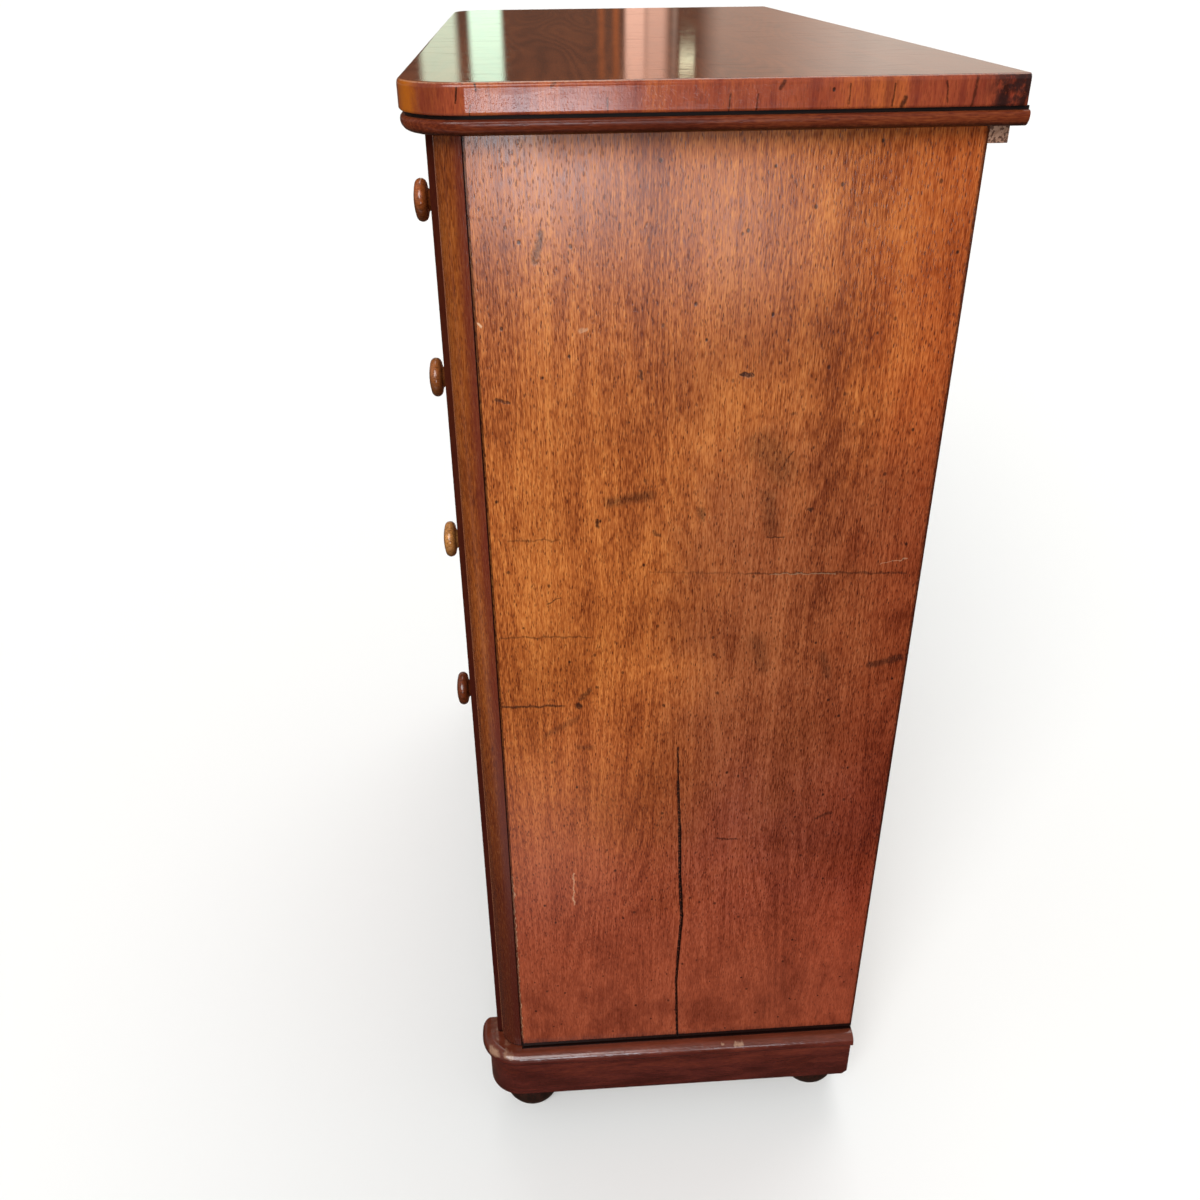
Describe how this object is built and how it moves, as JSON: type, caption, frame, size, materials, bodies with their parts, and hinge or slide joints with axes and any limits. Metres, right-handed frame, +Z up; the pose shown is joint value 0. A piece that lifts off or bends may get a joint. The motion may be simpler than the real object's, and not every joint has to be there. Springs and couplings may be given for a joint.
{
  "type": "chest of drawers",
  "caption": "Tall chest of drawers with rounded front corners, short drawers over long ones, turned wooden knobs, a moulded top edge, a plinth and turned feet.",
  "frame": {"origin": "on the floor, at the middle of the box round the whole chest, from the knobs' tips to the back ends of the moulding", "axes": "the front and the knobs face -Y, +X is the right-hand side as one faces the front, +Z is up"},
  "size_m": [1.1, 0.522, 1.272],
  "materials": {
    "mahogany": "French-polished mahogany veneer, satin",
    "polished_top": "French-polished mahogany, glossy",
    "mahogany_moulding": "polished mahogany, satin",
    "dark_mahogany": "polished mahogany, darkened and worn",
    "dark_turning": "turned beech, stained nearly black",
    "ebonised_strip": "ebonised wood",
    "knob_mahogany": "turned mahogany, polished",
    "pine": "planed pine, unfinished and aged",
    "raw_batten": "sawn pine end grain"
  },
  "bodies": {
    "carcass": {"back_boards": "pine", "divider": "mahogany", "drawer_guides": "pine", "dust_boards": "pine", "foot_back_left": "dark_turning", "foot_back_right": "dark_turning", "foot_front_left": "dark_turning", "foot_front_right": "dark_turning", "moulding_corners": "mahogany_moulding", "moulding_front": "mahogany_moulding", "moulding_left": "mahogany_moulding", "moulding_right": "mahogany_moulding", "plinth_corners": "dark_mahogany", "plinth_frame": "pine", "plinth_front": "dark_mahogany", "plinth_left": "dark_mahogany", "plinth_right": "dark_mahogany", "rail_1": "mahogany", "rail_2": "mahogany", "rail_3": "mahogany", "rail_4": "mahogany", "rail_bottom": "pine", "rail_top": "mahogany", "rear_batten": "raw_batten", "side_panel_left": "mahogany", "side_panel_right": "mahogany", "stile_left": "mahogany", "stile_right": "mahogany", "top_board": "polished_top", "top_fillet": "ebonised_strip"},
    "drawer_1_left": {"drawer_1_left_back": "pine", "drawer_1_left_bottom": "pine", "drawer_1_left_front": "mahogany", "drawer_1_left_knob": "knob_mahogany", "drawer_1_left_sides": "pine"},
    "drawer_1_right": {"drawer_1_right_back": "pine", "drawer_1_right_bottom": "pine", "drawer_1_right_front": "mahogany", "drawer_1_right_knob": "knob_mahogany", "drawer_1_right_sides": "pine"},
    "drawer_2": {"drawer_2_back": "pine", "drawer_2_bottom": "pine", "drawer_2_front": "mahogany", "drawer_2_knobs": "knob_mahogany", "drawer_2_sides": "pine"},
    "drawer_3": {"drawer_3_back": "pine", "drawer_3_bottom": "pine", "drawer_3_front": "mahogany", "drawer_3_knobs": "knob_mahogany", "drawer_3_sides": "pine"},
    "drawer_4": {"drawer_4_back": "pine", "drawer_4_bottom": "pine", "drawer_4_front": "mahogany", "drawer_4_knobs": "knob_mahogany", "drawer_4_sides": "pine"},
    "drawer_5": {"drawer_5_back": "pine", "drawer_5_bottom": "pine", "drawer_5_front": "mahogany", "drawer_5_knob": "knob_mahogany", "drawer_5_sides": "pine"}
  },
  "joints": [
    {"name": "drawer_1_left_slide", "type": "slide", "parent": "carcass", "child": "drawer_1_left", "axis": [0, -1, 0], "range_m": [0, 0.36]},
    {"name": "drawer_1_right_slide", "type": "slide", "parent": "carcass", "child": "drawer_1_right", "axis": [0, -1, 0], "range_m": [0, 0.36]},
    {"name": "drawer_2_slide", "type": "slide", "parent": "carcass", "child": "drawer_2", "axis": [0, -1, 0], "range_m": [0, 0.36]},
    {"name": "drawer_3_slide", "type": "slide", "parent": "carcass", "child": "drawer_3", "axis": [0, -1, 0], "range_m": [0, 0.36]},
    {"name": "drawer_4_slide", "type": "slide", "parent": "carcass", "child": "drawer_4", "axis": [0, -1, 0], "range_m": [0, 0.36]},
    {"name": "drawer_5_slide", "type": "slide", "parent": "carcass", "child": "drawer_5", "axis": [0, -1, 0], "range_m": [0, 0.36]}
  ]
}
